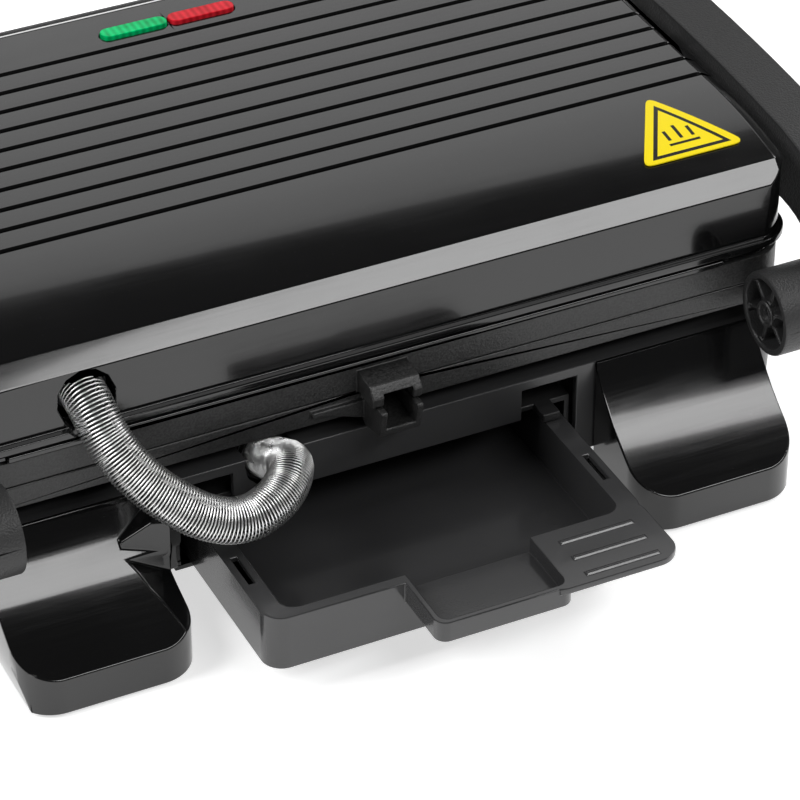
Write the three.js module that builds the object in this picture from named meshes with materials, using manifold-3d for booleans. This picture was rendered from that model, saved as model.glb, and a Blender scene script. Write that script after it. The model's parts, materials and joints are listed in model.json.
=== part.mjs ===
// A contact grill for toasted sandwiches, in millimetres, +Z up.
// The handle is toward -Y and the hinge, the spring conduit and the drip tray are toward +Y.
// Inside the assembly, Y = 0 is the rear face of the plates and Z = 0 is the table.
import * as THREE from 'three';
import { ConvexGeometry } from 'three/addons/geometries/ConvexGeometry.js';
import { mergeVertices } from 'three/addons/utils/BufferGeometryUtils.js';
import Module from 'manifold-3d';

const wasm = await Module();
wasm.setup();

// ---------- driving dimensions ----------
const GAP = 0.3;                    // clearance between neighbouring pieces
const WALL = 2.5;                   // moulded plastic wall

const BODY_DEPTH = 188;             // front to back of base and lid
const PLATE_HALF = 147;             // half width of the plates
const LID_HALF = 148;               // half width of the lid shell
const BODY_CORNER = 14;             // plan radius of the body's corners

const PARTING = 60.8;               // where the two plates meet
const PLATE_BAND = 8.2;             // height of the lower plate's rim
const BASE_TOP = 47.7;              // top edge of the base housing
const BASE_BOTTOM = 14;             // lower edge of the base housing
const REAR_WALL = 1.5;              // outer face of the base's rear wall
const UPPER_PLATE_TOP = 70.1;
const FRAME_TOP = 72.6;
const LID_BOTTOM = 72.9;
const LID_TOP = 106;

const HUB_Y = 17;                   // hinge axis, along X
const HUB_Z = 60;
const HUB_R = 14;
const HUB_INNER = 128;              // inner end of each hub
const OPEN_ANGLE = 100;             // degrees that the arms lift
const EAR_IN = 149.5;               // the hinge ear of the base sits between hub and arm
const EAR_OUT = 153.2;
const ARM_IN = 154;
const ARM_OUT = 172;

const HANDLE_Y = -224;
const HANDLE_Z = 66;
const HANDLE_HALF_Y = 12;
const HANDLE_HALF_Z = 11;
const FLOAT_Y = -95;                // pins on which the lid floats between the arms
const FLOAT_Z = 88;

const FOOT_IN = 76;                 // inner and outer side of each rear foot
const FOOT_OUT = 134;
const FOOT_REAR = 37.5;
const FOOT_TOE = 14.5;              // height of the toe
const PAD = 1.5;                    // what the rubber pads stand proud

const TRAY_HALF = 64;
const TRAY_BOTTOM = 12.2;
const TRAY_TOP = 31.6;
const TRAY_REAR = 59;               // rear wall of the tub, tray pulled out as at rest
const TRAY_FRONT = -62;
const GRIP_REAR = 83;
const BAY_HALF = 69.4;              // opening for the tray in the rear wall
const BAY_FRONT = -112;

const COIL_R = 7.3;                 // outer radius of the spring conduit
const LEAD_R = 3.4;

const GROOVES = 10;                 // decorative grooves across the lid
const GROOVE_PITCH = 10.9;
const LAST_GROOVE = -55.8;

const FRONT_Y = HANDLE_Y - HANDLE_HALF_Y;
const CENTRE_Y = (FRONT_Y + GRIP_REAR) / 2;

// ---------- materials ----------
const finish = (color, roughness, metalness) =>
  new THREE.MeshStandardMaterial({ color, roughness, metalness });
const GLOSS_BLACK = finish(0x0b0b0c, 0.12, 0);
const MATT_BLACK = finish(0x1c1c1d, 0.6, 0);
const ARM_GREY = finish(0x2f3031, 0.55, 0);
const NON_STICK = finish(0x242424, 0.5, 0.3);
const BRIGHT_STEEL = finish(0xc4c6c8, 0.25, 1);
const SHEET_STEEL = finish(0xb0b2b4, 0.4, 1);
const RUBBER = finish(0x151515, 0.9, 0);
const CERAMIC = finish(0xe6e2d6, 0.7, 0);
const CIRCUIT = finish(0x1f5a34, 0.6, 0);
const GREEN_LENS = finish(0x0fa04a, 0.1, 0);
const RED_LENS = finish(0xd01226, 0.1, 0);
const LABEL_YELLOW = finish(0xf5dc14, 0.4, 0);

// ---------- solids ----------
// A closed three.js geometry as a manifold solid.
function solid(geometry) {
  let shared = geometry.clone();
  shared.deleteAttribute('normal');
  shared.deleteAttribute('uv');
  shared = mergeVertices(shared, 1e-4);
  return new wasm.Manifold(new wasm.Mesh({
    numProp: 3,
    vertProperties: new Float32Array(shared.attributes.position.array),
    triVerts: new Uint32Array(shared.index.array),
  }));
}

// A manifold solid as a three.js geometry.
function geometryOf(body) {
  const { vertProperties, triVerts } = body.getMesh();
  const geometry = new THREE.BufferGeometry();
  geometry.setAttribute('position', new THREE.BufferAttribute(vertProperties, 3));
  geometry.setIndex(new THREE.BufferAttribute(triVerts, 1));
  return geometry;
}

const join = (first, ...rest) => rest.reduce((sum, body) => sum.add(body), first);
const cut = (first, ...rest) => rest.reduce((left, body) => left.subtract(body), first);

// A box given by its lowest and highest corners.
function block(low, high) {
  const size = high.map((value, i) => value - low[i]);
  const box = new THREE.BoxGeometry(...size);
  box.translate(...low.map((value, i) => value + size[i] / 2));
  return solid(box);
}

// An outline in X and Y, raised from z0 to z1.
function raised(shape, z0, z1, curveSegments = 3) {
  const options = { depth: z1 - z0, bevelEnabled: false, curveSegments };
  return solid(new THREE.ExtrudeGeometry(shape, options).translate(0, 0, z0));
}

// An outline in Y and Z, run along X from x0 to x1. Both ends can have a chamfer, `chamfer` long
// and `drop` deep.
function along(shape, x0, x1, curveSegments = 8, chamfer = 0, drop = chamfer) {
  const options = { depth: x1 - x0 - 2 * chamfer, curveSegments, bevelEnabled: chamfer > 0,
    bevelSegments: 1, bevelThickness: chamfer, bevelSize: drop, bevelOffset: -drop };
  const geometry = new THREE.ExtrudeGeometry(shape, options);
  const turn = new THREE.Matrix4().makeBasis(
    new THREE.Vector3(0, 1, 0), new THREE.Vector3(0, 0, 1), new THREE.Vector3(1, 0, 0));
  return solid(geometry.applyMatrix4(turn).translate(x0 + chamfer, 0, 0));
}

// A round rod along X, Y or Z between two stations.
function rod(axis, from, to, radius, u, v, sides = 16) {
  const geometry = new THREE.CylinderGeometry(radius, radius, to - from, sides);
  const middle = (from + to) / 2;
  if (axis === 'x') geometry.rotateZ(Math.PI / 2).translate(middle, u, v);
  if (axis === 'y') geometry.translate(u, middle, v);
  if (axis === 'z') geometry.rotateX(Math.PI / 2).translate(u, v, middle);
  return solid(geometry);
}

// A rectangle with round corners, from its lowest and highest X and Y.
function roundRect(x0, y0, x1, y1, radius) {
  const shape = new THREE.Shape();
  shape.moveTo(x0 + radius, y0);
  shape.lineTo(x1 - radius, y0);
  shape.absarc(x1 - radius, y0 + radius, radius, -Math.PI / 2, 0);
  shape.lineTo(x1, y1 - radius);
  shape.absarc(x1 - radius, y1 - radius, radius, 0, Math.PI / 2);
  shape.lineTo(x0 + radius, y1);
  shape.absarc(x0 + radius, y1 - radius, radius, Math.PI / 2, Math.PI);
  shape.lineTo(x0, y0 + radius);
  shape.absarc(x0 + radius, y0 + radius, radius, Math.PI, Math.PI * 1.5);
  return shape;
}

const outline = (...points) => new THREE.Shape(points.map(([u, v]) => new THREE.Vector2(u, v)));

// A straight-sided outline whose corners are rounded off over the length `trim`.
function softOutline(trim, ...corners) {
  const shape = new THREE.Shape();
  const count = corners.length;
  const toward = ([u, v], [a, b]) => {
    const share = trim / Math.hypot(a - u, b - v);
    return [u + (a - u) * share, v + (b - v) * share];
  };
  corners.forEach((corner, i) => {
    const start = toward(corner, corners[(i + count - 1) % count]);
    if (i === 0) shape.moveTo(...start);
    else shape.lineTo(...start);
    shape.quadraticCurveTo(...corner, ...toward(corner, corners[(i + 1) % count]));
  });
  return shape;
}
const mirrored = (body) => body.mirror([1, 0, 0]);

// ---------- assembly ----------
const model = new THREE.Group();
const machine = new THREE.Group();
machine.position.y = -CENTRE_Y;
model.add(machine);

function place(name, body, material) {
  const mesh = new THREE.Mesh(body.isBufferGeometry ? body : geometryOf(body), material);
  mesh.name = name;
  machine.add(mesh);
}

// The same piece on both sides: +X is the left of a person who stands behind the machine.
function placePair(name, body, material) {
  place(`${name}_left`, body, material);
  place(`${name}_right`, mirrored(body), material);
}

// ---------- spring conduit and its lead ----------
// From the clip inside the base, out under the lower plate, round the back and into the lid.
const CONDUIT = new THREE.CatmullRomCurve3([
  [37.6, -8, 42.8], [36.6, 0, 44.8], [35.6, 6.5, 47.8], [35.6, 12, 50.2], [37.8, 17.3, 51],
  [42, 22, 49.6], [49, 26, 48], [58.2, 28, 47.5], [68.2, 27, 50.5], [78, 23.4, 57],
  [86.8, 17.6, 65.4], [92.8, 10, 75.2], [95.2, 1, 84.2], [96, -9, 88],
].map((point) => new THREE.Vector3(...point)));

function tube(radius, hole, steps, sides) {
  const shape = new THREE.Shape().absarc(0, 0, radius, 0, Math.PI * 2);
  if (hole) shape.holes.push(new THREE.Path().absarc(0, 0, hole, 0, Math.PI * 2));
  const options = { steps, extrudePath: CONDUIT, curveSegments: sides };
  return new THREE.ExtrudeGeometry(shape, options);
}

const conduitClearance = solid(tube(COIL_R + 2, 0, 24, 6));

function conduitClip(at) {
  const centre = CONDUIT.getPointAt(at);
  const tangent = CONDUIT.getTangentAt(at);
  const inner = COIL_R + GAP;
  const outer = COIL_R + 1;
  const half = 1;
  const ring = [[inner, -half], [outer, -half], [outer, half], [inner, half], [inner, -half]];
  const lathe = new THREE.LatheGeometry(ring.map(([r, h]) => new THREE.Vector2(r, h)), 16);
  const turn = new THREE.Quaternion().setFromUnitVectors(new THREE.Vector3(0, 1, 0), tangent);
  return solid(lathe.applyQuaternion(turn).translate(centre.x, centre.y, centre.z));
}

// ---------- base ----------
// An outline in X and Z, run along Y past both ends of the machine.
function through(shape) {
  const options = { depth: 2 * BODY_DEPTH, bevelEnabled: false };
  return solid(new THREE.ExtrudeGeometry(shape, options).rotateX(Math.PI / 2)
    .translate(0, BODY_DEPTH / 2, 0));
}

// Side view of a rear foot: steep under the body, then a shallow ramp out to the toe.
function footRamp(inset) {
  const shape = new THREE.Shape();
  const rear = FOOT_REAR - inset;
  const bend = (...values) => shape.quadraticCurveTo(...values.map((value) => value - inset));
  shape.moveTo(-16, BASE_TOP - inset);
  shape.lineTo(2 - inset, BASE_TOP - inset);
  bend(4.6, 41.8, 8.3, 37.5);
  bend(12.2, 33, 16.3, 29);
  bend(26, 20.5, FOOT_REAR, FOOT_TOE);
  shape.lineTo(rear, PAD + inset);
  shape.lineTo(-16, PAD + inset);
  return shape;
}

const FOOT_CORNER = 13;
const FOOT_DRAFT = 3.5;               // how far the outer side leans in at the table
const footSkin = (inset) => along(footRamp(inset), FOOT_IN - 1, FOOT_OUT + 1, 6)
  .intersect(raised(roundRect(FOOT_IN + inset, -30, FOOT_OUT - inset, FOOT_REAR - inset,
    FOOT_CORNER - inset), -1, BASE_TOP + 1, 8))
  .intersect(through(outline([FOOT_IN + inset, -1], [FOOT_OUT - FOOT_DRAFT - inset, -1],
    [FOOT_OUT - inset, FOOT_TOE], [FOOT_OUT - inset, 60], [FOOT_IN + inset, 60])));

const FOOT_SCREWS = [[88, 22], [120, 22]];  // X and Z, driven from inside the rear wall
const CORD_PASSAGE = [99, 25];              // X and Z of the mains cord's way into the base

// A hollow moulding, open toward the rear wall of the base, with two screw bosses on webs.
function rearFoot(outer = footSkin(0), inner = footSkin(WALL)) {
  const front = REAR_WALL + GAP;
  const ahead = block([FOOT_IN - 1, -40, 0], [FOOT_OUT + 1, front, BASE_TOP + 1]);
  const bosses = FOOT_SCREWS.map(([x, z]) => join(rod('y', front, 13, 3.6, x, z, 12),
    block([x - 1.5, front, PAD + 1], [x + 1.5, 13, z - 2.5])));
  const bores = FOOT_SCREWS.map(([x, z]) => rod('y', REAR_WALL, 12, 1.5, x, z, 8));
  return cut(join(cut(outer, inner, ahead), ...bosses), ...bores);
}

const footScrews = ([x, z]) => join(rod('y', -3, REAR_WALL - WALL - GAP, 3, x, z, 12),
  rod('y', -2, 11, 1.2, x, z, 8));

// The side walls lean in toward the table.
function baseBlank(inset, low, high) {
  const lean = 7;
  const half = PLATE_HALF - inset;
  const front = -BODY_DEPTH + inset;
  const rear = REAR_WALL - inset;
  const top = BASE_TOP + 1;
  const across = through(outline([-half + lean, BASE_BOTTOM - 5], [half - lean, BASE_BOTTOM - 5],
    [half, top - 10], [half, top], [-half, top], [-half, top - 10]));
  const side = along(outline([front + 6, BASE_BOTTOM - 5], [rear, BASE_BOTTOM - 5], [rear, top],
    [front, top], [front, top - 10]), -half, half);
  const plan = raised(roundRect(-half, front, half, rear, BODY_CORNER - inset), low, high, 6);
  return plan.intersect(across).intersect(side);
}

function hingeEar() {
  const web = block([PLATE_HALF - 4, -34, 36], [EAR_OUT, -3, 45]);
  const arm = along(outline([-34, 36], [6, 44], [HUB_Y + 2, 52], [HUB_Y, 60], [HUB_Y - 8, 62],
    [-4, 50], [-34, 45]), EAR_IN, EAR_OUT);
  const eye = rod('x', EAR_IN, EAR_OUT, 9, HUB_Y, HUB_Z, 28);
  return join(web, arm, eye);
}

const GLAND = [6.8, 33.4];             // Y and Z of the mains cord's gland
const SCREW_POSTS = [[133, -150], [-133, -150], [133, -36], [-133, -36]];

// The mains cord leaves the left rear foot under a pointed hood, and a scoop in the ramp below
// it, which gets shallower toward the toe, leads the cord away.
function cordScoop(deeper) {
  const low = [[75, 12.8, 22.4], [91.2, 13, 32.6], [86.5, 21, 25.4], [81, 36.5, 15.6],
    [80, 40, 14.4], [75, 40, 12.4]];
  const corners = low.flatMap(([x, y, z]) => [[x + deeper, y - deeper, z - deeper],
    [x + deeper, y - deeper, BASE_TOP + 5]]);
  return solid(new ConvexGeometry(corners.map((corner) => new THREE.Vector3(...corner))));
}

function rearFootLeft() {
  const front = REAR_WALL + GAP;
  const hood = along(outline([front, 26.5], [12, 26.5], [13.6, 31], [14, 42.4], [9, 44.6],
    [front, 46.6]), FOOT_IN + 0.1, FOOT_IN + 15.3)
    .intersect(through(outline([FOOT_IN, 0], [FOOT_IN + 16, 0], [FOOT_IN + 15.4, 37.2],
      [FOOT_IN + 4, 44.4], [FOOT_IN, 46.6])))
    .intersect(raised(outline([FOOT_IN, 0], [FOOT_IN + 16, 0], [FOOT_IN + 15.3, 10.4],
      [FOOT_IN, 13.9]), 20, BASE_TOP));
  const foot = rearFoot(cut(footSkin(0), cordScoop(0)), cut(footSkin(WALL), cordScoop(WALL)));
  return cut(join(foot, hood), rod('x', FOOT_IN - 2, FOOT_IN + 7, 3.5, ...GLAND));
}

function baseHousing() {
  const shell = cut(baseBlank(0, BASE_BOTTOM, BASE_TOP),
    baseBlank(WALL, BASE_BOTTOM - 2, BASE_TOP - WALL),
    raised(roundRect(-132, -176, 132, -12, 8), BASE_BOTTOM, BASE_TOP + 2));
  const posts = SCREW_POSTS.map(([x, y]) => rod('z', BASE_BOTTOM + GAP, BASE_TOP - 1, 4.5, x, y, 10));
  const bores = SCREW_POSTS.map(([x, y]) => rod('z', BASE_BOTTOM - 1, 40, 1.8, x, y, 8));
  const screwHoles = FOOT_SCREWS.flatMap(([x, z]) => [x, -x].map((side) =>
    rod('y', -4, 4, 1.6, side, z, 8)));
  const passage = rod('y', -4, 4, 4, ...CORD_PASSAGE);
  const body = join(shell, hingeEar(), mirrored(hingeEar()), ...posts);
  const bayLow = block([-BAY_HALF, -8, 0], [BAY_HALF, 8, TRAY_TOP + 1]);
  const railNotch = block([50, -8, 0], [BAY_HALF, 8, 44]);
  return cut(body, bayLow, railNotch, mirrored(railNotch), ...bores, ...screwHoles, passage,
    rod('x', EAR_IN - 1, EAR_OUT + 1, 3.3, HUB_Y, HUB_Z),
    rod('x', -EAR_OUT - 1, -EAR_IN + 1, 3.3, HUB_Y, HUB_Z), conduitClearance);
}

// The bottom cover carries the bay that the tray slides in, with its ledges and its rails.
function baseCover() {
  const coverTop = BASE_BOTTOM;
  const low = TRAY_BOTTOM - 2.3;
  const roof = 35;
  const side = 67;
  const plate = raised(roundRect(-136, -178, 136, -1.6, 12), coverTop - 2, coverTop - GAP);
  const bay = block([-side - 2, BAY_FRONT - 2, low], [side + 2, -2, roof]);
  const room = block([-side, BAY_FRONT, TRAY_BOTTOM - GAP], [side, 10, roof - 2]);
  const slot = block([-45, BAY_FRONT + 12, low - 1], [45, 10, TRAY_BOTTOM]);
  const rail = block([56, -20, TRAY_TOP + GAP + 0.2], [62, 5, roof]);
  const holes = SCREW_POSTS.map(([x, y]) => rod('z', 5, 20, 2, x, y, 8));
  return cut(join(cut(join(plate, bay), room, slot), rail, mirrored(rail)), ...holes);
}

const coverScrew = ([x, y]) => join(rod('z', BASE_BOTTOM - 3.9, BASE_BOTTOM - 2.3, 3.4, x, y, 12),
  rod('z', BASE_BOTTOM - 3, 34, 1.5, x, y, 8));

// Ridges run front to back. `floor` is the sunken face and `crest` the top of the ridges.
function ridges(floor, crest, x0, x1) {
  const pitch = 13;
  const count = Math.floor((x1 - x0) / pitch);
  const start = (x0 + x1) / 2 - (count * pitch) / 2 + pitch / 2;
  const rise = crest - floor;
  return Array.from({ length: count }, (_, i) => {
    const x = start + i * pitch;
    const ridge = outline([x - 3, floor - rise * 0.2], [x + 3, floor - rise * 0.2], [x + 1.4, crest],
      [x - 1.4, crest]);
    const options = { depth: BODY_DEPTH - 40, bevelEnabled: false };
    return solid(new THREE.ExtrudeGeometry(ridge, options).rotateX(Math.PI / 2).translate(0, -20, 0));
  });
}

const SPOUT_X = -2;
const spoutWall = (half) => along(outline([-10, 53], [2.2, 48.4], [12, 50.4], [14, 58.6],
  [14, PARTING - GAP], [-10, PARTING - GAP]), SPOUT_X - half, SPOUT_X + half);

function lowerPlate() {
  const bottom = PARTING - PLATE_BAND;
  const rim = raised(roundRect(-PLATE_HALF, -BODY_DEPTH + 1, PLATE_HALF, 0, 12), bottom,
    PARTING - GAP / 2, 6);
  const pan = raised(roundRect(-137, -178, 137, -9, 8), 55.4, PARTING + 1);
  const guard = through(outline([SPOUT_X + 5, 51], [SPOUT_X + 9, 51.8], [SPOUT_X + 19, 55.4],
    [SPOUT_X + 25, 56], [SPOUT_X + 25, 58], [SPOUT_X + 5, 58]))
    .intersect(block([SPOUT_X, -8, 50], [SPOUT_X + 26, 1.6, 59]));
  const channel = along(outline([-14, 55.4], [0, 54.2], [20, 52.4], [20, 66], [-14, 66]),
    SPOUT_X - 5, SPOUT_X + 5);
  const body = join(cut(rim, pan), spoutWall(7.2), guard, ...ridges(55.4, 58.2, -136, 136));
  return cut(body, channel);
}

function upperPlate() {
  const rim = raised(roundRect(-PLATE_HALF, -BODY_DEPTH + 1, PLATE_HALF, 0, 12),
    PARTING + GAP / 2, UPPER_PLATE_TOP, 6);
  const pan = raised(roundRect(-137, -178, 137, -9, 8), PARTING - 1, 66.2);
  const hood = along(outline([-6, PARTING + GAP], [11, PARTING + GAP], [11.6, 64.6], [9, 68],
    [-6, 69.2]), SPOUT_X - 8, SPOUT_X + 9);
  const arch = along(outline([-12, 60], [20, 60], [20, 65.4], [-12, 65.4]), SPOUT_X - 5,
    SPOUT_X + 5);
  const bars = ridges(0, 2.8, -136, 136).map((bar) => bar.mirror([0, 0, 1]).translate([0, 0, 66.2]));
  return join(cut(join(rim, hood), pan, arch), ...bars);
}

// A sheathed element: a long U with both ends turned up toward the wiring.
function heater(z) {
  const half = 112;
  const front = -150;
  const rear = -40;
  const bend = 20;
  const path = new THREE.CurvePath();
  const point = (x, y) => new THREE.Vector3(x, y, z);
  const bendAt = (a, b, c) => new THREE.QuadraticBezierCurve3(point(...a), point(...b), point(...c));
  path.add(new THREE.LineCurve3(point(30, rear), point(half - bend, rear)));
  path.add(bendAt([half - bend, rear], [half, rear], [half, rear - bend]));
  path.add(new THREE.LineCurve3(point(half, rear - bend), point(half, front + bend)));
  path.add(bendAt([half, front + bend], [half, front], [half - bend, front]));
  path.add(new THREE.LineCurve3(point(half - bend, front), point(-half + bend, front)));
  path.add(bendAt([-half + bend, front], [-half, front], [-half, front + bend]));
  path.add(new THREE.LineCurve3(point(-half, front + bend), point(-half, rear - bend)));
  path.add(bendAt([-half, rear - bend], [-half, rear], [-half + bend, rear]));
  path.add(new THREE.LineCurve3(point(-half + bend, rear), point(-30, rear)));
  const ring = new THREE.Shape().absarc(0, 0, 3.1, 0, Math.PI * 2);
  return new THREE.ExtrudeGeometry(ring, { steps: 40, extrudePath: path, curveSegments: 3 });
}

function reflector(z0, z1, openUp) {
  const outer = raised(roundRect(-127, -170, 127, -20, 6), z0, z1);
  const inner = openUp ? [z0 + 0.8, z1 + 1] : [z0 - 1, z1 - 0.8];
  return cut(outer, raised(roundRect(-126.2, -169.2, 126.2, -20.8, 5.2), ...inner));
}

const thermostat = (z0, z1) => join(rod('z', z0, z1, 8, 0, -90),
  block([-11, -93, z0], [11, -87, z0 + 1.5]));

// ---------- arms ----------
function armProfile() {
  const shape = new THREE.Shape();
  shape.absarc(HUB_Y, HUB_Z, HUB_R, Math.PI, Math.PI * 2);
  shape.bezierCurveTo(31, 82, 8, 101, -34, 102.6);
  shape.quadraticCurveTo(-62, 105, -100, 105);
  shape.quadraticCurveTo(-160, 104, -200, 84);
  shape.quadraticCurveTo(-220, 78, HANDLE_Y - 2, HANDLE_Z + HANDLE_HALF_Z + 0.4);
  shape.absarc(HANDLE_Y, HANDLE_Z, HANDLE_HALF_Z + 0.6, Math.PI / 2, Math.PI * 1.5);
  shape.quadraticCurveTo(-205, 56, -190, 66);
  shape.quadraticCurveTo(-170, 76, -120, 76);
  shape.lineTo(-30, 76);
  shape.quadraticCurveTo(2, 78, HUB_Y - HUB_R, HUB_Z);
  return shape;
}

function arm() {
  const blade = along(armProfile(), ARM_IN, ARM_OUT, 10);
  const hub = rod('x', HUB_INNER, ARM_IN + 1, HUB_R, HUB_Y, HUB_Z, 40);
  const mouth = cut(rod('x', HUB_INNER - 1, HUB_INNER + 9, HUB_R - 2.4, HUB_Y, HUB_Z, 40),
    rod('x', HUB_INNER - 2, HUB_INNER + 10, 4.6, HUB_Y, HUB_Z));
  const ribs = Array.from({ length: 6 }, (_, i) => {
    const turn = 18 + i * 60;
    const rib = new THREE.BoxGeometry(7, HUB_R - 5, 1.2).translate(0, (HUB_R + 3) / 2, 0);
    rib.rotateX(THREE.MathUtils.degToRad(turn)).translate(HUB_INNER + 5, HUB_Y, HUB_Z);
    return solid(rib);
  });
  // The ear of the base stands in this slot, which is wide enough for the whole swing.
  const slotIn = EAR_IN - 0.6;
  const slotOut = EAR_OUT + 0.5;
  const sweep = new THREE.Shape();
  sweep.moveTo(HUB_Y, HUB_Z);
  sweep.absarc(HUB_Y, HUB_Z, HUB_R + 6, Math.PI * 0.97, THREE.MathUtils.degToRad(265 + OPEN_ANGLE));
  const slot = join(along(sweep, slotIn, slotOut, 6), rod('x', slotIn, slotOut, 9.8, HUB_Y, HUB_Z, 24));
  const capSeat = rod('x', ARM_OUT - 1.5, ARM_OUT + 1, 10, HUB_Y, HUB_Z, 24);
  return cut(join(cut(join(blade, hub), mouth), ...ribs), slot, capSeat,
    rod('x', HUB_INNER - 1, ARM_OUT - 4, 3.3, HUB_Y, HUB_Z),
    rod('x', ARM_IN - 1, ARM_OUT - 5, 4.3, FLOAT_Y, FLOAT_Z),
    rod('x', ARM_IN - 1, ARM_OUT + 1, 2.4, HANDLE_Y, HANDLE_Z, 16),
    rod('x', ARM_OUT - 2, ARM_OUT + 1, 4.6, HANDLE_Y, HANDLE_Z));
}

const hingePin = () => rod('x', HUB_INNER + 3, ARM_OUT - 4.5, 3, HUB_Y, HUB_Z, 12);
const hingeCap = () => rod('x', ARM_OUT - 1.2, ARM_OUT + 0.6, 9.7, HUB_Y, HUB_Z, 24);
const floatPin = () => join(rod('x', LID_HALF - 6, ARM_OUT - 5.4, 4, FLOAT_Y, FLOAT_Z, 12),
  rod('x', LID_HALF + 2, ARM_IN - GAP, 7, FLOAT_Y, FLOAT_Z));
const handleScrew = () => join(
  rod('x', ARM_OUT - 1.7, ARM_OUT - 0.1, 4.2, HANDLE_Y, HANDLE_Z),
  rod('x', ARM_IN - 18, ARM_OUT - 1, 2, HANDLE_Y, HANDLE_Z, 10));

function handleBar() {
  const oval = new THREE.Shape().absellipse(HANDLE_Y, HANDLE_Z, HANDLE_HALF_Y, HANDLE_HALF_Z, 0,
    Math.PI * 2);
  const end = ARM_IN - GAP;
  const bore = rod('x', end - 19, end + 1, 2.4, HANDLE_Y, HANDLE_Z, 12);
  return cut(along(oval, -end, end, 14), bore, mirrored(bore));
}

// ---------- lid ----------
// Front to back outline of the lid, pushed out by `grow`: a nearly flat crown that rolls down to
// the shoulder, a bevelled shoulder, and an upright rear wall.
function lidProfile(grow, low) {
  const shape = new THREE.Shape();
  const front = -BODY_DEPTH;
  shape.moveTo(front - grow, low);
  shape.lineTo(front - grow, 92);
  shape.quadraticCurveTo(front - grow, LID_TOP - 4 + grow, front + 12, LID_TOP + grow);
  shape.lineTo(-52, LID_TOP + grow);
  shape.quadraticCurveTo(-28, LID_TOP + grow, -7, 101.2 + grow);
  shape.lineTo(-1 + grow, 95.2 + grow / 2);
  shape.lineTo(grow, low);
  return shape;
}

// The ends are chamfered all round the outline, and the corners are round in plan.
function lidBlank(grow, low) {
  const half = LID_HALF + grow;
  const chamfer = 4.4;
  const drop = 2.4;
  const plan = raised(roundRect(-half, -BODY_DEPTH - grow, half, grow, BODY_CORNER + grow), low,
    LID_TOP + 6, 7);
  return along(lidProfile(grow, low - 2 * drop), -half, half, 12, chamfer, drop).intersect(plan);
}

const LID_POSTS = [[138, -150], [-138, -150], [138, -34], [-138, -34]];
const LAMP_Y = -162.6;
const LAMP_HALF = 3;
const LAMP_LENGTH = 24;

const lamp = (grow, z0, z1) => raised(roundRect(GAP - grow, LAMP_Y - LAMP_HALF - grow,
  LAMP_LENGTH + grow, LAMP_Y + LAMP_HALF + grow, LAMP_HALF + grow - 0.05), z0, z1, 6);

function lidShell() {
  const lip = raised(roundRect(-LID_HALF - 1, -BODY_DEPTH - 1, LID_HALF + 1, 2, BODY_CORNER), 74,
    76.6, 7);
  const inside = lidBlank(-WALL, LID_BOTTOM - 1);
  const posts = LID_POSTS.map(([x, y]) => rod('z', LID_BOTTOM, LID_TOP + 2, 4.5, x, y, 10)
    .intersect(lidBlank(-1, LID_BOTTOM)));
  const bores = LID_POSTS.map(([x, y]) => rod('z', LID_BOTTOM - 1, 90, 1.8, x, y, 8));
  const grooves = Array.from({ length: GROOVES }, (_, i) => {
    const y = LAST_GROOVE - i * GROOVE_PITCH;
    return along(outline([y - 0.8, LID_TOP + 1], [y - 0.8, LID_TOP - 0.3], [y - 0.1, LID_TOP - 1.6],
      [y + 0.8, LID_TOP - 0.3], [y + 0.8, LID_TOP + 1]), -LID_HALF - 1, LID_HALF + 1);
  });
  const shell = join(cut(join(lidBlank(0, LID_BOTTOM), lip), inside), ...posts);
  return cut(shell, ...bores, ...grooves, conduitClearance,
    lamp(GAP, LID_TOP - 12, LID_TOP + 2), mirrored(lamp(GAP, LID_TOP - 12, LID_TOP + 2)),
    rod('x', LID_HALF - 8, LID_HALF + 2, 4.4, FLOAT_Y, FLOAT_Z),
    rod('x', -LID_HALF - 2, -LID_HALF + 8, 4.4, FLOAT_Y, FLOAT_Z));
}

function lidFrame() {
  const ring = raised(roundRect(-145.5, -185.5, 145.5, -0.5, 12), UPPER_PLATE_TOP + GAP, FRAME_TOP);
  const bead = block([-122, -8, UPPER_PLATE_TOP + GAP], [122, 1.2, FRAME_TOP]);
  const holes = LID_POSTS.map(([x, y]) => rod('z', 60, 80, 3.6, x, y, 10));
  return cut(join(ring, bead), raised(roundRect(-131, -174, 131, -12, 8), 60, 80), ...holes,
    conduitClearance);
}

const frameScrew = ([x, y]) => join(
  rod('z', UPPER_PLATE_TOP + GAP + 0.1, FRAME_TOP - 0.1, 3.2, x, y, 12),
  rod('z', FRAME_TOP - 1, 88, 1.5, x, y, 8));

function cautionLabel() {
  const x = -119.5;
  const half = 18.5;
  const rear = -16.2;
  const front = -49;
  const triangle = softOutline(4, [x - half, rear], [x + half, rear], [x, front]);
  const sheet = cut(along(lidProfile(0.7, 90), -146, -90), along(lidProfile(GAP, 80), -147, -89));
  return sheet.intersect(raised(triangle, 95, 110, 5));
}

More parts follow.
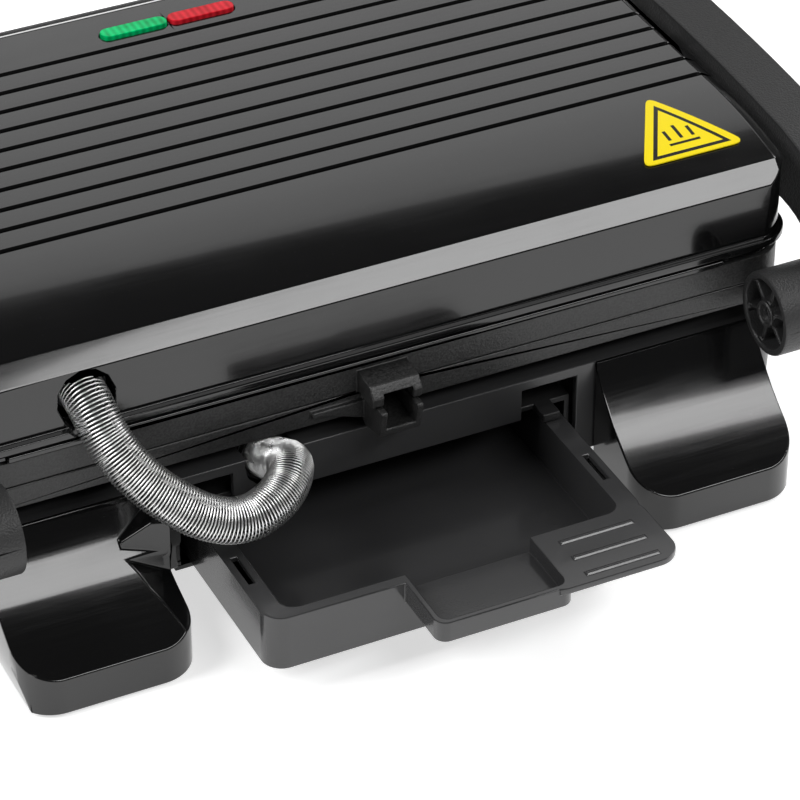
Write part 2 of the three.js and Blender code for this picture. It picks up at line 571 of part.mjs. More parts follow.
// ---------- drip tray ----------
function dripTray() {
  const basinLow = -25;
  const basinHigh = 17;
  const tub = raised(roundRect(-TRAY_HALF, TRAY_FRONT, TRAY_HALF, TRAY_REAR, 7), TRAY_BOTTOM,
    TRAY_TOP, 7);
  const basin = raised(roundRect(basinLow - 2, 40, basinHigh + 2, GRIP_REAR - 1, 4), 24.3,
    TRAY_TOP, 5);
  const grip = raised(roundRect(-TRAY_HALF, 50, basinLow + 8, GRIP_REAR, 8), TRAY_TOP - 2.2,
    TRAY_TOP, 7);
  const room = raised(roundRect(-57, TRAY_FRONT + 4, 57, TRAY_REAR - 4, 5), TRAY_BOTTOM + 2,
    TRAY_TOP + 1, 5);
  const basinRoom = raised(roundRect(basinLow, 45, basinHigh, GRIP_REAR - 3, 3), 26.2,
    TRAY_TOP + 1, 5);
  const hollow = block([59.2, TRAY_FRONT + 8, TRAY_BOTTOM - 1],
    [61.8, TRAY_REAR - 8, TRAY_TOP - 2.2]);
  const slot = block([59.4, 25, TRAY_TOP - 4], [61.6, 39, TRAY_TOP + 1]);
  const ribs = [62, 70.4, 78.8].map((y) => block([-57, y - 0.8, TRAY_TOP - 1],
    [-32, y + 0.8, TRAY_TOP + 0.7]));
  const body = cut(join(tub, basin, grip), room, basinRoom, hollow, mirrored(hollow), slot,
    mirrored(slot));
  return join(body, ...ribs);
}

// ---------- build ----------
place('base_housing', baseHousing(), GLOSS_BLACK);
place('base_cover', baseCover(), MATT_BLACK);
SCREW_POSTS.forEach((at, i) => place(`cover_screw_${i + 1}`, coverScrew(at), BRIGHT_STEEL));
place('rear_foot_left', rearFootLeft(), GLOSS_BLACK);
place('rear_foot_right', mirrored(rearFoot()), GLOSS_BLACK);
FOOT_SCREWS.forEach((at, i) => placePair(`foot_screw_${i + 1}`, footScrews(at), BRIGHT_STEEL));
placePair('rear_pad', raised(roundRect(95, 8, 117, 33, 5), 0, PAD - 0.1), RUBBER);
placePair('front_foot', raised(roundRect(96, -172, 124, -146, 6), 2, BASE_BOTTOM - 2.3), MATT_BLACK);
placePair('front_pad', raised(roundRect(99, -169, 121, -149, 5), 0, 1.7), RUBBER);
place('lower_plate', lowerPlate(), NON_STICK);
place('lower_heater', heater(49.2), BRIGHT_STEEL);
place('lower_reflector', reflector(38, 45.4, true), SHEET_STEEL);
place('lower_thermostat', thermostat(43, 52.2), CERAMIC);
place('terminal_block', join(block([84, -70, 16], [112, -56, 24]), block([87, -66, 23], [93, -60, 28]),
  block([95, -66, 23], [101, -60, 28]), block([103, -66, 23], [109, -60, 28])), CERAMIC);
place('thermal_fuse', rod('x', 84, 106, 2.2, -82, 20, 14), BRIGHT_STEEL);
place('cord_gland', cut(join(rod('x', 72, 82.5, 3.2, ...GLAND), rod('x', 72, FOOT_IN - GAP, 4.8, ...GLAND)),
  rod('x', 70, 74, 2.4, ...GLAND)), RUBBER);
placePair('hinge_pin', hingePin(), BRIGHT_STEEL);
place('conduit_spring', tube(COIL_R, COIL_R - 1.6, 30, 5), BRIGHT_STEEL);
place('conduit_lead', tube(LEAD_R, 0, 30, 3), RUBBER);
place('base_conduit_clip', conduitClip(0.025), MATT_BLACK);

placePair('arm', arm(), ARM_GREY);
placePair('hinge_cap', hingeCap(), ARM_GREY);
placePair('float_pin', floatPin(), BRIGHT_STEEL);
place('handle_bar', handleBar(), ARM_GREY);
placePair('handle_screw', handleScrew(), BRIGHT_STEEL);

place('lid_shell', lidShell(), GLOSS_BLACK);
place('lid_frame', lidFrame(), GLOSS_BLACK);
LID_POSTS.forEach((at, i) => place(`frame_screw_${i + 1}`, frameScrew(at), BRIGHT_STEEL));
place('upper_plate', upperPlate(), NON_STICK);
place('upper_heater', heater(73.6), BRIGHT_STEEL);
place('upper_reflector', reflector(77.2, 84, false), SHEET_STEEL);
place('upper_thermostat', thermostat(70.4, 79.4), CERAMIC);
place('lamp_window_green', lamp(0, LID_TOP - 5, LID_TOP + 1.2), GREEN_LENS);
place('lamp_window_red', mirrored(lamp(0, LID_TOP - 5, LID_TOP + 1.2)), RED_LENS);
place('lamp_board', block([-28, -170, 97.5], [28, -155, 99.1]), CIRCUIT);
place('caution_label', cautionLabel(), LABEL_YELLOW);
place('lid_conduit_clip', conduitClip(0.97), MATT_BLACK);

place('drip_tray', dripTray(), GLOSS_BLACK);

export default model;
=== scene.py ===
# %% [markdown]
# A panini press, seen from behind
#
# The machine is a contact grill: a base on four feet, a ribbed lid that floats between two
# hinged arms, a spring conduit that carries the wires from base to lid, and a drip tray that
# slides out at the back. The imported frame gives every piece its place and size in metres.
# Here each piece gets its finished surface: rounded edges, wound wire, and plastics and
# metals that look like the real ones. The CAD box is kept.

# %% Load the frame
import bisect
import json
import math

import bmesh
import bpy
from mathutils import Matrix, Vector
from mathutils.bvhtree import BVHTree

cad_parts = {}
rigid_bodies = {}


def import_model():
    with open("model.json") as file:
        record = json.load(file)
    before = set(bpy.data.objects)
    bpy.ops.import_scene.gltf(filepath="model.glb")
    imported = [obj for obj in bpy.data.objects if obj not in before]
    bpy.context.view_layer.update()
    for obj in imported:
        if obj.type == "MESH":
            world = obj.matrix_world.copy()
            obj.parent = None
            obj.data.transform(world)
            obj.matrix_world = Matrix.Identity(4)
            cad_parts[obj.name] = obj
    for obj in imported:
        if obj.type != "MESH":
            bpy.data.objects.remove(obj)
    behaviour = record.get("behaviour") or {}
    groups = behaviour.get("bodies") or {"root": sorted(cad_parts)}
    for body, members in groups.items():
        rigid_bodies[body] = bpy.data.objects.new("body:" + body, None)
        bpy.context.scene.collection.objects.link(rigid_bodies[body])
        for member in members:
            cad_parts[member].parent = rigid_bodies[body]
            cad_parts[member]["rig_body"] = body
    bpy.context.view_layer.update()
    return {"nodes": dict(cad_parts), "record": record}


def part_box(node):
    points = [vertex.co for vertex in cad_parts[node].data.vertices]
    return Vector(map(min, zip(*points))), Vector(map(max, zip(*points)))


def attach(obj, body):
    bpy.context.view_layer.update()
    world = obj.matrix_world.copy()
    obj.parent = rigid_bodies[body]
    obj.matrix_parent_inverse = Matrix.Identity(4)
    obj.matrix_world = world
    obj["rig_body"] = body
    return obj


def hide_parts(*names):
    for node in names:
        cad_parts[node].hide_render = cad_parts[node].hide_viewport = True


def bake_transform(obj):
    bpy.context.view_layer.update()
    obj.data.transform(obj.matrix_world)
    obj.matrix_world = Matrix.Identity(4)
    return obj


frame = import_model()
MM = 0.001

# %% [markdown]
# The camera stands behind the machine, a little to its left, and looks down on it with a long
# lens, so that edges which are parallel stay almost parallel. It is placed by a heading and an
# elevation round a point near the hinge, which is easier to read than three coordinates.

# %% Camera
HEADING = math.radians(25.8)
ELEVATION = math.radians(35.6)
DISTANCE = 1.198
aim = Vector((-0.0077, 0.0765, 0.053))
toward_camera = Vector((math.cos(ELEVATION) * math.sin(HEADING),
                        math.cos(ELEVATION) * math.cos(HEADING), math.sin(ELEVATION)))

camera_data = bpy.data.cameras.new("camera")
camera_data.lens = 173.07
camera_data.sensor_width = 36
camera = bpy.data.objects.new("camera", camera_data)
camera.location = aim + DISTANCE * toward_camera
camera.rotation_euler = toward_camera.to_track_quat("Z", "Y").to_euler()
bpy.context.scene.collection.objects.link(camera)
bpy.context.scene.camera = camera
print("camera at", [round(value, 3) for value in camera.location])

# %% [markdown]
# Numbers that vary over a surface are written as plain expressions. A Wire stands for the
# output of a shader node, and adding or multiplying wires adds Math nodes. A Finish is one
# material: its `node` method makes any other node, and its `set` method feeds the shader.

# %% Shader arithmetic
class Wire:
    def __init__(self, finish, socket):
        self.finish = finish
        self.socket = socket

    def math(self, operation, first, second):
        return self.finish.node("ShaderNodeMath", {"operation": operation}, {0: first, 1: second})

    def __add__(self, other):
        return self.math("ADD", self, other)

    def __sub__(self, other):
        return self.math("SUBTRACT", self, other)

    def __rsub__(self, other):
        return self.math("SUBTRACT", other, self)

    def __mul__(self, other):
        return self.math("MULTIPLY", self, other)

    def __truediv__(self, other):
        return self.math("DIVIDE", self, other)

    def __gt__(self, other):
        return self.math("GREATER_THAN", self, other)

    def at_least(self, other):
        return self.math("MAXIMUM", self, other)

    def at_most(self, other):
        return self.math("MINIMUM", self, other)

    __radd__ = __add__
    __rmul__ = __mul__


class Finish:
    def __init__(self, name, **constants):
        self.material = bpy.data.materials.new(name)
        self.material.use_nodes = True
        self.tree = self.material.node_tree
        self.shader = self.tree.nodes["Principled BSDF"]
        self.place = self.node("ShaderNodeTexCoord", output="Object")
        self.set({key.replace("_", " "): value for key, value in constants.items()})

    def feed(self, socket, value):
        if isinstance(value, Wire):
            self.tree.links.new(value.socket, socket)
        else:
            socket.default_value = value

    def node(self, kind, settings=None, inputs=None, output=0):
        node = self.tree.nodes.new(kind)
        for key, value in (settings or {}).items():
            setattr(node, key, value)
        for key, value in (inputs or {}).items():
            self.feed(node.inputs[key], value)
        return Wire(self, node.outputs[output])

    def set(self, values):
        for key, value in values.items():
            self.feed(self.shader.inputs[key], value)

    def stretched(self, x, y, z):
        return self.node("ShaderNodeMapping", {}, {"Vector": self.place, "Scale": (x, y, z)})

    def noise(self, scale, detail=2.0, place=None):
        inputs = {"Vector": place or self.place, "Scale": scale, "Detail": detail}
        return self.node("ShaderNodeTexNoise", {}, inputs)

    def cells(self, scale):
        return self.node("ShaderNodeTexVoronoi", {}, {"Vector": self.place, "Scale": scale})

    def ramp(self, value, low, high):
        inputs = {"Value": value, "From Min": low, "From Max": high}
        return self.node("ShaderNodeMapRange", {}, inputs)

    def mix(self, factor, first, second):
        settings = {"data_type": "RGBA"}
        return self.node("ShaderNodeMix", settings, {0: factor, 6: first, 7: second}, 2)

    def bump(self, height, depth, normal=None):
        inputs = {"Height": height, "Distance": depth, "Strength": 1.0}
        if normal:
            inputs["Normal"] = normal
        return self.node("ShaderNodeBump", {}, inputs)


def grey(value, tint=0.0):
    return (value, value, value * (1 + tint), 1)


print("shader helpers ready")

# %% [markdown]
# Polished black plastic is nearly all reflection. What makes it look moulded, and not like
# glass, is that its gloss is a little uneven: faint finger haze, hairlines from polishing that
# run along the lid, and a few specks of dust. All three only change roughness and colour a
# little, on top of a clear coat.

# %% Gloss black
def gloss_black():
    finish = Finish("gloss_black", Coat_Weight=0.35, Coat_Roughness=0.05, IOR=1.47)
    haze = finish.ramp(finish.noise(22, 4), 0.42, 0.75)
    hairlines = finish.ramp(finish.noise(60, 3, finish.stretched(0.6, 40, 12)), 0.35, 0.8)
    dust = finish.ramp(finish.cells(420), 0.055, 0.02)
    colour = finish.mix(dust * 0.22, grey(0.003, 0.05), grey(0.12))
    ripple = finish.noise(95, 1)
    finish.set({"Base Color": colour,
                "Roughness": 0.11 + haze * 0.06 + hairlines * 0.07 + dust * 0.3,
                "Normal": finish.bump(ripple, 0.00002)})
    return finish.material


# %% [markdown]
# The base comes out of a finely blasted tool, so it is satin, and the tray out of one that was
# polished by hand. Both are a little greyer than the lid. The skin has a grain too fine to see
# as dots, and broad clouds where the melt cooled at different speeds.

# %% Satin black
def soft_black(name, roughness):
    finish = Finish(name, Coat_Weight=0.3, Coat_Roughness=roughness * 0.7, IOR=1.47)
    clouds = finish.ramp(finish.noise(14, 4), 0.35, 0.75)
    skin = finish.noise(1700, 2)
    dust = finish.ramp(finish.cells(380), 0.05, 0.02)
    colour = finish.mix(clouds, grey(0.027, 0.03), grey(0.036, 0.03))
    finish.set({"Base Color": finish.mix(dust * 0.3, colour, grey(0.15)),
                "Roughness": roughness + clouds * 0.08 + skin * 0.06,
                "Normal": finish.bump(skin, 0.00002)})
    return finish.material


# %% [markdown]
# The arms, hubs and handle are moulded in a spark-eroded tool, so their skin has a fine pebbled
# grain. The inner frame of the base is smoother but still dull. Both get their grain from a cell
# pattern in a bump node, with the roughness following it.

# %% Grained plastics
def grained(name, value, grain, depth, roughness):
    finish = Finish(name, IOR=1.46)
    pebble = finish.cells(grain)
    blotch = finish.noise(35, 3)
    colour = finish.mix(blotch, grey(value * 0.85), grey(value * 1.15, 0.03))
    rub = finish.ramp(finish.noise(9, 5), 0.55, 0.8)
    finish.set({"Base Color": colour, "Roughness": roughness + pebble * 0.12 - rub * 0.07,
                "Normal": finish.bump(pebble, depth)})
    return finish.material


print("grained plastics ready")

# %% [markdown]
# The plates are die-cast and sprayed with a non-stick coat. Spray dries as a sandy skin over a
# broader orange peel, with a few metallic flecks in it, so one bump sits on top of another.

# %% Non-stick coat
def non_stick():
    finish = Finish("non_stick", IOR=1.5)
    sand = finish.noise(1500, 3)
    orange_peel = finish.noise(260, 2)
    flecks = finish.ramp(finish.cells(900), 0.12, 0.05)
    speckled = finish.mix(finish.ramp(sand, 0.35, 0.65), grey(0.008), grey(0.03))
    colour = finish.mix(flecks * 0.5, speckled, grey(0.1))
    finish.set({"Base Color": colour, "Roughness": 0.3 + sand * 0.22, "Metallic": flecks * 0.4,
                "Normal": finish.bump(sand, 0.00012, finish.bump(orange_peel, 0.00008))})
    return finish.material


print("non-stick coat ready")

# %% [markdown]
# The foot pads, the gland and the lead's sheath are rubber: no gloss at all, and a greyish bloom
# that comes to the surface with age.

# %% Rubber
def rubber():
    finish = Finish("rubber", IOR=1.5)
    bloom = finish.noise(70, 4)
    colour = finish.mix(bloom, grey(0.012), grey(0.03))
    finish.set({"Base Color": colour, "Roughness": 0.72 + bloom * 0.2,
                "Normal": finish.bump(finish.noise(1800, 2), 0.00004)})
    return finish.material


# %% [markdown]
# Drawn wire and screws are bright steel with faint draw lines. Sheet steel is duller, with the
# long streaks that rolling leaves. Metal takes its look from its roughness, so both differ
# mostly there.

# %% Metals
def steel(name, value, roughness, streak):
    finish = Finish(name, Metallic=1.0)
    lines = finish.noise(240, 3, finish.stretched(*streak))
    stain = finish.ramp(finish.noise(45, 4), 0.45, 0.8)
    colour = finish.mix(stain, grey(value), grey(value * 0.72, -0.04))
    finish.set({"Base Color": colour, "Roughness": roughness + lines * 0.14 + stain * 0.08,
                "Normal": finish.bump(lines, 0.00002)})
    return finish.material


print("metals ready")

# %% [markdown]
# Two finishes sit inside the machine: chalky ceramic on the thermostats and the terminal block,
# and lacquered green board behind the lamps, with its copper tracks as a lighter pattern.

# %% Ceramic and circuit board
def ceramic():
    finish = Finish("ceramic", IOR=1.5)
    chalk = finish.noise(320, 4)
    colour = finish.mix(chalk, (0.72, 0.68, 0.58, 1), (0.86, 0.83, 0.76, 1))
    finish.set({"Base Color": colour, "Roughness": 0.6 + chalk * 0.3,
                "Normal": finish.bump(chalk, 0.00008)})
    return finish.material


def circuit_board():
    finish = Finish("circuit_board", Coat_Weight=0.4, Coat_Roughness=0.2)
    tracks = finish.ramp(finish.noise(160, 0, finish.stretched(1, 4, 1)), 0.49, 0.52)
    colour = finish.mix(tracks, (0.012, 0.09, 0.03, 1), (0.03, 0.17, 0.07, 1))
    finish.set({"Base Color": colour, "Roughness": 0.35 + tracks * 0.15})
    return finish.material


# %% [markdown]
# The lamp windows are tinted clear plastic over a dark chamber. Real depth would need light
# behind them, and at rest the lamps are off, so the colour is a deep tint under a clear coat with
# painted light in it: it is painted lighter where light would show through the moulding ribs.
# This reads the same and bakes well.

# %% Lamp windows
def lens(name, dark, bright):
    finish = Finish(name, Coat_Weight=0.05, Coat_Roughness=0.04, Specular_IOR_Level=0.1)
    ribs = finish.node("ShaderNodeTexWave", {"bands_direction": "X"},
                       {"Vector": finish.place, "Scale": 130.0, "Distortion": 0.4})
    cloud = finish.noise(180, 2)
    # Painted light: the mix runs from the deep tint to a lighter one along the rib and cloud
    # pattern, painting in the light that would come through the window.
    depth = finish.ramp(ribs * 0.35 + cloud, 0.3, 0.95)
    finish.set({"Base Color": finish.mix(depth, dark, bright), "Roughness": 0.14 + cloud * 0.08,
                "Normal": finish.bump(ribs, 0.00005)})
    return finish.material


print("plastic, metal and lens finishes defined")

# %% [markdown]
# The label is a yellow foil triangle with a printed black border. Its drawing is generic: three
# short bars over a line. The print is worked out from the distance to the three sides and to
# the bars, in the label's own place, so it lies flat on the foil and stays sharp.

# %% Printed label
def printed_label(node):
    low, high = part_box(node)
    middle = (low.x + high.x) / 2
    half = (high.x - low.x) / 2
    depth = high.y - low.y
    finish = Finish("label_yellow", Specular_IOR_Level=0.25)
    parts = finish.node("ShaderNodeSeparateXYZ", {}, {0: finish.place}).socket.node.outputs
    x = Wire(finish, parts[0]) - middle
    y = high.y - Wire(finish, parts[1])
    side = finish.node("ShaderNodeMath", {"operation": "ABSOLUTE"}, {0: x})
    lean = math.hypot(half, depth)
    inset = y.at_most((half * (depth - y) / depth - side) * (depth / lean))
    border = (inset > 1.7 * MM) * (1 - (inset > 3.1 * MM))

    def patch(x0, x1, y0, y1):
        return (x > x0 * MM) * (1 - (x > x1 * MM)) * (y > y0 * MM) * (1 - (y > y1 * MM))

    drawing = border.at_least(patch(-5.5, 5.5, 6.0, 7.1))
    for bar in (-4.2, 0.0, 4.2):
        drawing = drawing.at_least(patch(bar - 0.6, bar + 0.6, 8.6, 15.5 - abs(bar) * 0.45))
    ink = finish.mix(drawing, (0.86, 0.68, 0.002, 1), (0.012, 0.012, 0.011, 1))
    grain = finish.noise(900, 2)
    finish.set({"Base Color": ink, "Roughness": 0.3 + grain * 0.1 - drawing * 0.06,
                "Normal": finish.bump(grain, 0.00001)})
    return finish.material


print("label print ready")

# %% [markdown]
# Each finish is stored under the name of its slot in the record, so that a piece finds its own.
# The base and the tray share their slot with the polished pieces, so their softer blacks are
# kept by the name of the node.

# %% All finishes
finishes = {
    "gloss_black": gloss_black(),
    "matt_black": grained("matt_black", 0.013, 1900, 0.00004, 0.42),
    "arm_grey": grained("arm_grey", 0.02, 1500, 0.00012, 0.42),
    "non_stick": non_stick(),
    "bright_steel": steel("bright_steel", 0.88, 0.22, (1, 1, 1)),
    "sheet_steel": steel("sheet_steel", 0.5, 0.28, (0.3, 9, 9)),
    "rubber": rubber(),
    "ceramic": ceramic(),
    "circuit_board": circuit_board(),
    "green_lens": lens("green_lens", (0.0, 0.26, 0.07, 1), (0.0, 0.6, 0.18, 1)),
    "red_lens": lens("red_lens", (0.34, 0.004, 0.008, 1), (0.72, 0.02, 0.035, 1)),
    "label_yellow": printed_label("caution_label"),
}
soft_blacks = {"base_housing": soft_black("satin_black", 0.27),
               "drip_tray": soft_black("tray_black", 0.13)}
print("finishes:", ", ".join(sorted(finishes)))

# %% [markdown]
# Every CAD node already has its true shape, but its edges are knife sharp, and real mouldings
# and castings never are: the thin bright line along each edge is what tells the eye how big a
# thing is. So each node is copied, its loose triangles are merged into clean faces, its sharp
# edges are beveled, and the copy stands for the node. How round an edge is depends on the
# piece, so that is the one number given for each.
#
# A face with a hole in it keeps a thin bridge from the hole to its rim, and a bevel folds over
# such a bridge. So the lid is first cut across through its two lamp pockets, and any point that
# the bevel throws off the surface is put back on it.

# %% Rounded copies of CAD nodes
slot_of = {part["node"]: part["material_slot"] for part in frame["record"]["subparts"]}


def body_of(node):
    return frame["nodes"][node]["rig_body"]


def finished(name, bm, look, smooth_angle=32):
    mesh = bpy.data.meshes.new(name)
    bm.to_mesh(mesh)
    bm.free()
    mesh.materials.append(look)
    mesh.shade_smooth()
    mesh.set_sharp_from_angle(angle=math.radians(smooth_angle))
    piece = bpy.data.objects.new(name, mesh)
    bpy.context.scene.collection.objects.link(piece)
    return piece


def sharp_edges(bm, angle):
    limit = math.radians(angle)
    return [edge for edge in bm.edges
            if len(edge.link_faces) == 2 and edge.calc_face_angle(0) > limit]


LAMP_CENTRE = 12.15
CUTS = {"lid_shell": (-LAMP_CENTRE, LAMP_CENTRE)}
MERGE = 2e-6


def cut_across(bm, x):
    geometry = bm.verts[:] + bm.edges[:] + bm.faces[:]
    result = bmesh.ops.bisect_plane(bm, geom=geometry, dist=1e-6, plane_co=(x * MM, 0, 0),
                                    plane_no=(1, 0, 0))
    for item in result["geom_cut"]:
        if isinstance(item, bmesh.types.BMEdge):
            item.seam = True


def rounded_copy(node, width, segments=2, angle=28):
    bm = bmesh.new()
    bm.from_mesh(frame["nodes"][node].data)
    bmesh.ops.remove_doubles(bm, verts=bm.verts, dist=MERGE)
    for x in CUTS.get(node, ()):
        cut_across(bm, x)
    bmesh.ops.dissolve_limit(bm, angle_limit=math.radians(0.6), verts=bm.verts, edges=bm.edges,
                             delimit={"SEAM"})
    surface = BVHTree.FromBMesh(bm)
    bmesh.ops.bevel(bm, geom=sharp_edges(bm, angle), offset=width * MM, offset_type="OFFSET",
                    segments=segments, profile=0.5, affect="EDGES", clamp_overlap=False,
                    material=-1)
    for vert in bm.verts:
        nearest, _, _, distance = surface.find_nearest(vert.co)
        if distance > width * MM:
            vert.co = nearest
    look = soft_blacks.get(node, finishes[slot_of[node]])
    piece = finished(node + "_moulded", bm, look)
    weighted = piece.modifiers.new("even_normals", "WEIGHTED_NORMAL")
    weighted.keep_sharp = True
    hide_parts(node)
    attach(piece, body_of(node))
    return piece


EDGE_WIDTHS = {
    "lid_shell": 0.45, "lid_frame": 0.6, "base_housing": 0.5, "base_cover": 0.4,
    "lower_plate": 0.6, "upper_plate": 0.5, "drip_tray": 0.45, "handle_bar": 0.8,
    "arm_left": 0.9, "arm_right": 0.9, "hinge_cap_left": 0.4, "hinge_cap_right": 0.4,
    "rear_foot_left": 0.6, "rear_foot_right": 0.6, "front_foot_left": 0.6,
    "front_foot_right": 0.6, "lamp_window_green": 0.5, "lamp_window_red": 0.5,
    "float_pin_left": 0.3, "float_pin_right": 0.3, "rear_pad_left": 0.3, "rear_pad_right": 0.3,
    "front_pad_left": 0.3, "front_pad_right": 0.3, "cord_gland": 0.4,
}
for node, width in EDGE_WIDTHS.items():
    piece = rounded_copy(node, width)
    print(f"{piece.name}: {len(piece.data.polygons)} faces, edges {width} mm")

# %% [markdown]
# The small hidden pieces keep their CAD meshes. They only need the right finish on their
# material slots.

# %% Finishes on the pieces that stay
for node, part in frame["nodes"].items():
    if node not in EDGE_WIDTHS:
        for material_slot in part.material_slots:
            material_slot.material = finishes[slot_of[node]]
print("plain nodes:", len(frame["nodes"]) - len(EDGE_WIDTHS))

# %% [markdown]
# The conduit is a close-wound spring of thin wire round the lead, held at both ends. A tube with
# a bump map would look like a hose, so the wire itself is wound: a smooth curve follows the
# route, a loop walks along it and circles round it, and a thin bevel turns that line into wire.
# The route is the same list of points as in the CAD, in millimetres from the plates' rear face.

# %% Route of the conduit
REFLECTOR_INSET = 20 * MM
rear_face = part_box("lower_reflector")[1].y + REFLECTOR_INSET
ROUTE = [(37.6, -8, 42.8), (36.6, 0, 44.8), (35.6, 6.5, 47.8), (35.6, 12, 50.2), (37.8, 17.3, 51),
         (42, 22, 49.6), (49, 26, 48), (58.2, 28, 47.5), (68.2, 27, 50.5), (78, 23.4, 57),
         (86.8, 17.6, 65.4), (92.8, 10, 75.2), (95.2, 1, 84.2), (96, -9, 88)]


def line_of(name, points, kind="POLY", thickness=0.0, sides=2, swell=None):
    curve = bpy.data.curves.new(name, "CURVE")
    curve.dimensions = "3D"
    curve.bevel_depth = thickness
    curve.bevel_resolution = sides
    curve.use_fill_caps = True
    curve.resolution_u = 24
    spline = curve.splines.new(kind)
    if kind == "BEZIER":
        spline.bezier_points.add(len(points) - 1)
        for knot, point in zip(spline.bezier_points, points):
            knot.co = point
            knot.handle_left_type = knot.handle_right_type = "AUTO"
    else:
        spline.points.add(len(points) - 1)
        for knot, point in zip(spline.points, points):
            knot.co = (*point, 1)
        for knot, factor in zip(spline.points, swell or []):
            knot.radius = factor
    return bpy.data.objects.new(name, curve)


def mesh_of(curve_object):
    bpy.context.scene.collection.objects.link(curve_object)
    depsgraph = bpy.context.evaluated_depsgraph_get()
    mesh = bpy.data.meshes.new_from_object(curve_object.evaluated_get(depsgraph))
    bpy.data.objects.remove(curve_object)
    return mesh


route = [Vector((x * MM, rear_face + y * MM, z * MM)) for x, y, z in ROUTE]
centreline = [vertex.co.copy() for vertex in mesh_of(line_of("route", route, "BEZIER")).vertices]
lengths = [0.0]
for before, after in zip(centreline, centreline[1:]):
    lengths.append(lengths[-1] + (after - before).length)
print(f"conduit: {lengths[-1] / MM:.1f} mm long, {len(centreline)} stations")

# %% [markdown]
# To wind the wire, each station needs two directions square to the route. They are carried from
# one station to the next by the smallest turn, so that the turns of wire never flip. The spring
# is wound close at the base, where it bends most, and then opens out, so the number of turns is
# added up along the route and the wire is walked turn by turn. The wire is drawn a little thinner
# where it is close, so that single turns stay visible there.

# %% Carried frames
tangents = [(centreline[min(i + 1, len(centreline) - 1)] - centreline[max(i - 1, 0)]).normalized()
            for i in range(len(centreline))]
sides = [tangents[0].orthogonal().normalized()]
for before, after in zip(tangents, tangents[1:]):
    carried = before.rotation_difference(after) @ sides[-1]
    sides.append((carried - carried.dot(after) * after).normalized())


def station(distance):
    index = max(i for i, length in enumerate(lengths[:-1]) if length <= distance)
    share = (distance - lengths[index]) / (lengths[index + 1] - lengths[index])
    centre = centreline[index].lerp(centreline[index + 1], share)
    tangent = tangents[index].lerp(tangents[index + 1], share).normalized()
    side = sides[index].lerp(sides[index + 1], share).normalized()
    return centre, side, tangent.cross(side)


MEETING_X = 86.8 * MM
WIRE = 0.27 * MM
COIL = 7.3 * MM - WIRE
STEPS = 18
CLOSE_PITCH = 0.6 * MM
EXTRA_PITCH = 0.42 * MM
THIN_WIRE = 0.62
CLOSE_LENGTH = 24 * MM
OPENING_LENGTH = 22 * MM
joint_at = next(length for length, point in zip(lengths, centreline) if point.x > MEETING_X)
last_station = lengths[-1] - 1e-7


def opening(distance):
    return min(max((distance - CLOSE_LENGTH) / OPENING_LENGTH, 0), 1)


turns = [0.0]
for before, after in zip(lengths, lengths[1:]):
    turns.append(turns[-1] + (after - before) / (CLOSE_PITCH + EXTRA_PITCH * opening(after)))


def between(value, known, wanted):
    index = min(bisect.bisect_right(known, value) - 1, len(known) - 2)
    share = (value - known[index]) / (known[index + 1] - known[index])
    return wanted[index] + share * (wanted[index + 1] - wanted[index])


def wound(start, end):
    first = between(start, lengths, turns)
    last = between(end, lengths, turns)
    count = round((last - first) * STEPS)
    points = []
    swell = []
    for i in range(count + 1):
        turn = first + (last - first) * i / count
        distance = min(between(turn, turns, lengths), last_station)
        centre, side, up = station(distance)
        angle = 2 * math.pi * turn
        points.append(centre + COIL * (math.cos(angle) * side + math.sin(angle) * up))
        swell.append(THIN_WIRE + (1 - THIN_WIRE) * opening(distance))
    return points, swell


def straight(start, end, steps=40):
    return [station(min(start + (end - start) * i / steps, last_station))[0]
            for i in range(steps + 1)], None


print("lower part ends at", round(joint_at / MM, 1), "mm, near the hinge")

# %% [markdown]
# The conduit is fixed in the base and in the lid, and the arms turn between them. It is made
# in two lengths that meet at a point near the hinge: the lower one runs from base to arms, and
# the upper one from arms to lid. The lead inside it is made in the same way.

# %% Conduit pieces
def along_route(name, line, thickness, sides, node, slot):
    mesh = mesh_of(line_of(name, line[0], "POLY", thickness, sides, line[1]))
    mesh.name = name
    mesh.materials.clear()
    mesh.materials.append(finishes[slot])
    mesh.shade_smooth()
    piece = bpy.data.objects.new(name, mesh)
    bpy.context.scene.collection.objects.link(piece)
    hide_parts(node)
    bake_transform(piece)
    print(f"{name}: {len(mesh.polygons)} faces")
    return piece


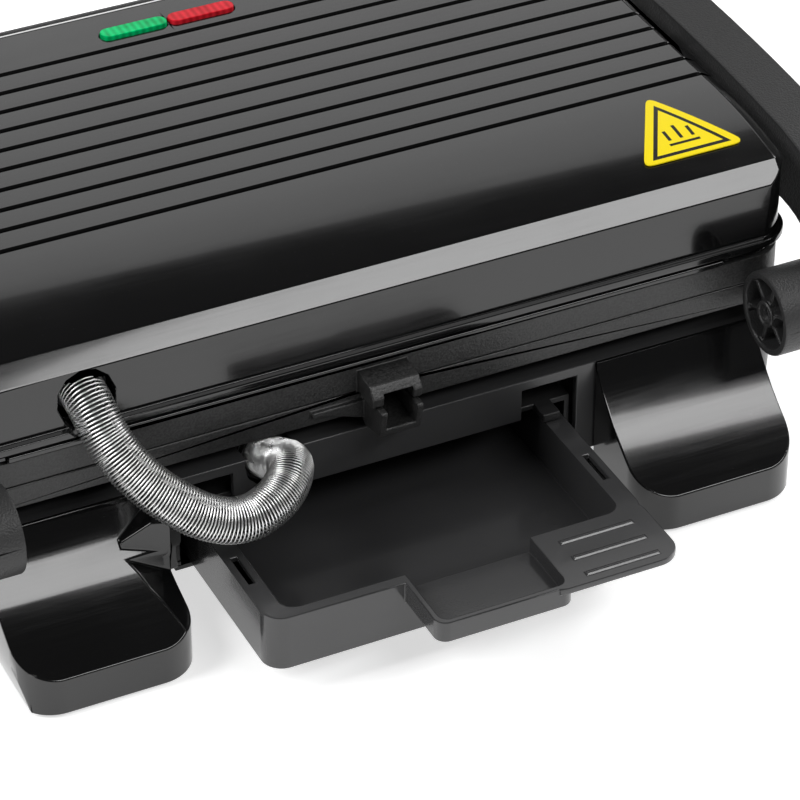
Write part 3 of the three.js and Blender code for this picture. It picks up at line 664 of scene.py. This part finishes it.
LEAD = 3.4 * MM
INSIDE_LID = 10 * MM
meeting = station(joint_at)[0]
lid_hole = station(lengths[-1] - INSIDE_LID)[0]
along_route("spring_lower", wound(0, joint_at), WIRE, 1, "conduit_spring", "bright_steel")
along_route("spring_upper", wound(joint_at, lengths[-1]), WIRE, 1, "conduit_spring",
            "bright_steel")
along_route("lead_lower", straight(0, joint_at), LEAD, 5, "conduit_lead", "rubber")
along_route("lead_upper", straight(joint_at, lengths[-1]), LEAD, 5, "conduit_lead", "rubber")

# %% [markdown]
# The stage is a pale sweep with soft light. Polished black shows only what it mirrors, so the
# lights are placed by what each face should show: one large softbox high behind the camera
# side lights the bevelled shoulder of the lid, and one high in front shows in the flat crown.
# Between them it stays dark, which gives the black its depth.

# %% Floor
bm = bmesh.new()
bmesh.ops.create_grid(bm, x_segments=1, y_segments=1, size=6)
floor_mesh = bpy.data.meshes.new("floor")
bm.to_mesh(floor_mesh)
bm.free()
floor = bpy.data.objects.new("floor", floor_mesh)
bpy.context.scene.collection.objects.link(floor)
paper = Finish("paper", Roughness=0.9, Emission_Strength=0.62)
paper.set({"Base Color": grey(0.82), "Emission Color": grey(1.0)})
floor_mesh.materials.append(paper.material)
print("floor ready")

# %% [markdown]
# Two more softboxes stand well to the sides, where no large face mirrors them. They light the
# label, the lamp windows, the spring and the satin walls without greying the polished lid.

# %% Lights
def softbox(name, heading, elevation, distance, width, height, power):
    data = bpy.data.lights.new(name, "AREA")
    data.shape = "RECTANGLE"
    data.size = width
    data.size_y = height
    data.energy = power
    light = bpy.data.objects.new(name, data)
    direction = Vector((math.cos(elevation) * math.sin(heading),
                        math.cos(elevation) * math.cos(heading), math.sin(elevation)))
    light.location = aim + distance * direction
    light.rotation_euler = direction.to_track_quat("Z", "Y").to_euler()
    bpy.context.scene.collection.objects.link(light)
    return light


softbox("rear_softbox", math.radians(-31), math.radians(47), 1.5, 1.3, 0.35, 11)
softbox("front_softbox", math.radians(206), math.radians(34), 1.8, 1.5, 0.7, 3.4)
softbox("left_softbox", math.radians(98), math.radians(42), 1.6, 0.9, 0.9, 22)
softbox("right_softbox", math.radians(-105), math.radians(38), 1.7, 0.8, 0.8, 9)
world = bpy.data.worlds.new("studio")
world.use_nodes = True
world.node_tree.nodes["Background"].inputs["Color"].default_value = grey(0.9)
world.node_tree.nodes["Background"].inputs["Strength"].default_value = 0.07
bpy.context.scene.world = world
bpy.context.scene.view_settings.view_transform = "Standard"
